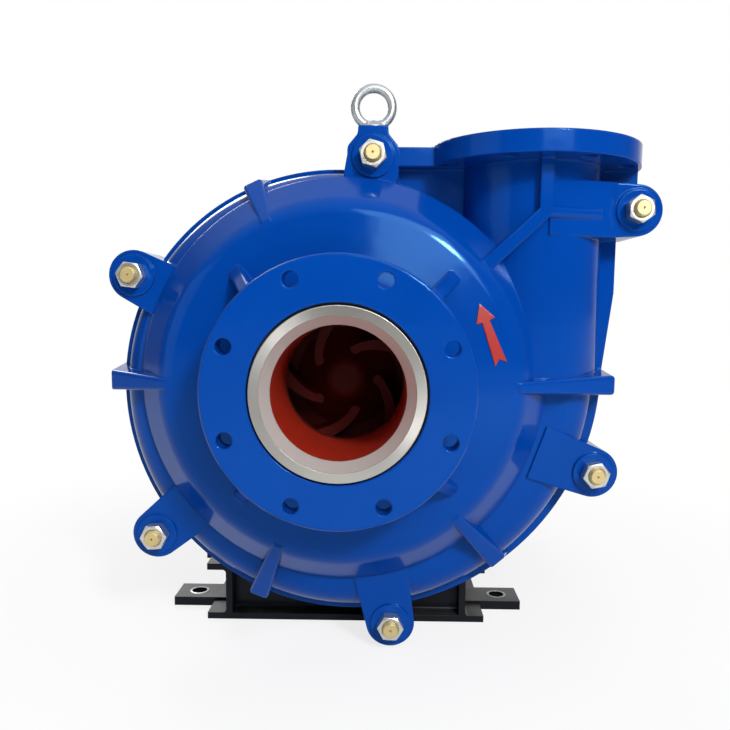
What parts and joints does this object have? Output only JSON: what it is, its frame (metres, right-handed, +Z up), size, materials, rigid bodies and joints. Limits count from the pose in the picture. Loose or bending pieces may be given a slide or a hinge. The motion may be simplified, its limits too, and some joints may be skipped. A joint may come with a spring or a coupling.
{
  "type": "horizontal slurry pump",
  "caption": "Horizontal lined slurry pump: split volute casing with side suction and upright discharge, on a bearing pedestal with a channel base.",
  "frame": {"origin": "on the floor, in the middle of the four foundation bolt holes", "axes": "+Z up, +Y along the shaft towards its drive end, -Y out of the suction mouth, +X to the right as seen from the suction side"},
  "size_m": [0.8266, 1.3, 0.873],
  "materials": {
    "blue_enamel": "gloss enamel on cast iron",
    "black_enamel": "black enamel on cast iron and rolled steel",
    "red_primer": "red oxide primer on cast iron",
    "white_iron": "as cast, hard white iron",
    "machined_iron": "machined at its mouth, as cast inside",
    "turned_steel": "turned and ground",
    "bearing_steel": "ground",
    "zinc_plate": "zinc plated",
    "yellow_zinc": "zinc plated, yellow passivated",
    "forged_steel": "forged, zinc plated",
    "seal_rubber": "moulded",
    "gland_packing": "braided, impregnated",
    "lantern_bronze": "turned"
  },
  "bodies": {
    "casing": {"cover_plate": "blue_enamel", "frame_plate": "blue_enamel", "volute_liner": "white_iron", "throatbush": "machined_iron", "frame_plate_liner_insert": "white_iron", "front_liner_seal": "seal_rubber", "rear_liner_seal": "seal_rubber", "intake_joint": "seal_rubber", "discharge_joint": "seal_rubber", "cover_studs": "yellow_zinc", "cover_front_nuts": "zinc_plate", "cover_rear_nuts": "zinc_plate", "lifting_eye": "forged_steel", "liner_studs": "zinc_plate", "liner_stud_nuts": "zinc_plate", "stuffing_box": "white_iron", "stuffing_box_seal": "seal_rubber", "lantern_ring": "lantern_bronze", "packing_rings": "gland_packing", "gland_bolts": "zinc_plate", "seal_water_plug": "yellow_zinc", "bearing_pedestal": "black_enamel", "pedestal_ring": "black_enamel", "pedestal_side_plates": "black_enamel", "pedestal_cross_wall": "black_enamel", "pedestal_deck": "black_enamel", "screw_bracket": "black_enamel", "cartridge_clamps": "black_enamel", "clamp_bolts": "zinc_plate", "frame_studs": "zinc_plate", "frame_nuts": "zinc_plate", "front_foot_bar": "black_enamel", "rear_foot_bar": "black_enamel", "left_side_channel": "black_enamel", "right_side_channel": "black_enamel", "front_channel": "black_enamel", "rear_channel": "black_enamel"},
    "cartridge": {"bearing_housing": "blue_enamel", "pump_end_cover": "blue_enamel", "drive_end_cover": "blue_enamel", "end_cover_screws": "zinc_plate", "grease_nipples": "yellow_zinc", "adjusting_screw": "zinc_plate", "pump_end_bearing_outer": "bearing_steel", "drive_end_bearing_outer": "bearing_steel"},
    "rotor": {"shaft": "turned_steel", "shaft_sleeve": "turned_steel", "impeller_release_collar": "turned_steel", "shaft_spacer": "turned_steel", "shaft_key": "turned_steel", "pump_end_labyrinth": "turned_steel", "drive_end_labyrinth": "turned_steel", "pump_end_bearing_inner": "bearing_steel", "drive_end_bearing_inner": "bearing_steel", "impeller": "red_primer"},
    "pump_end_rollers": {"pump_end_bearing_rollers": "bearing_steel"},
    "drive_end_rollers": {"drive_end_bearing_rollers": "bearing_steel"},
    "gland": {"gland": "white_iron", "gland_nuts": "zinc_plate"},
    "adjuster": {"adjusting_nuts": "zinc_plate"}
  },
  "joints": [
    {"name": "cartridge_adjust", "type": "slide", "parent": "casing", "child": "cartridge", "axis": [0, 1, 0], "range_m": [-0.002, 0.002]},
    {"name": "rotor_spin", "type": "hinge", "parent": "cartridge", "child": "rotor", "pos_m": [0, 0.3605, 0.423], "axis": [0, -1, 0], "continuous": true},
    {"name": "pump_end_cage_spin", "type": "hinge", "parent": "cartridge", "child": "pump_end_rollers", "pos_m": [0, 0.1635, 0.423], "axis": [0, -1, 0], "continuous": true},
    {"name": "drive_end_cage_spin", "type": "hinge", "parent": "cartridge", "child": "drive_end_rollers", "pos_m": [0, 0.5575, 0.423], "axis": [0, -1, 0], "continuous": true},
    {"name": "adjusting_nut_turn", "type": "hinge", "parent": "casing", "child": "adjuster", "pos_m": [0, 0.3705, 0.263], "axis": [0, 1, 0], "range_deg": [-240, 240]},
    {"name": "gland_adjust", "type": "slide", "parent": "casing", "child": "gland", "axis": [0, 1, 0], "range_m": [0, 0.018]}
  ],
  "couplings": [
    {"joint": "pump_end_cage_spin", "follows": "rotor_spin", "ratio": 0.44643},
    {"joint": "drive_end_cage_spin", "follows": "rotor_spin", "ratio": 0.44643},
    {"joint": "adjusting_nut_turn", "follows": "cartridge_adjust", "rad_per_m": 2094.4}
  ]
}
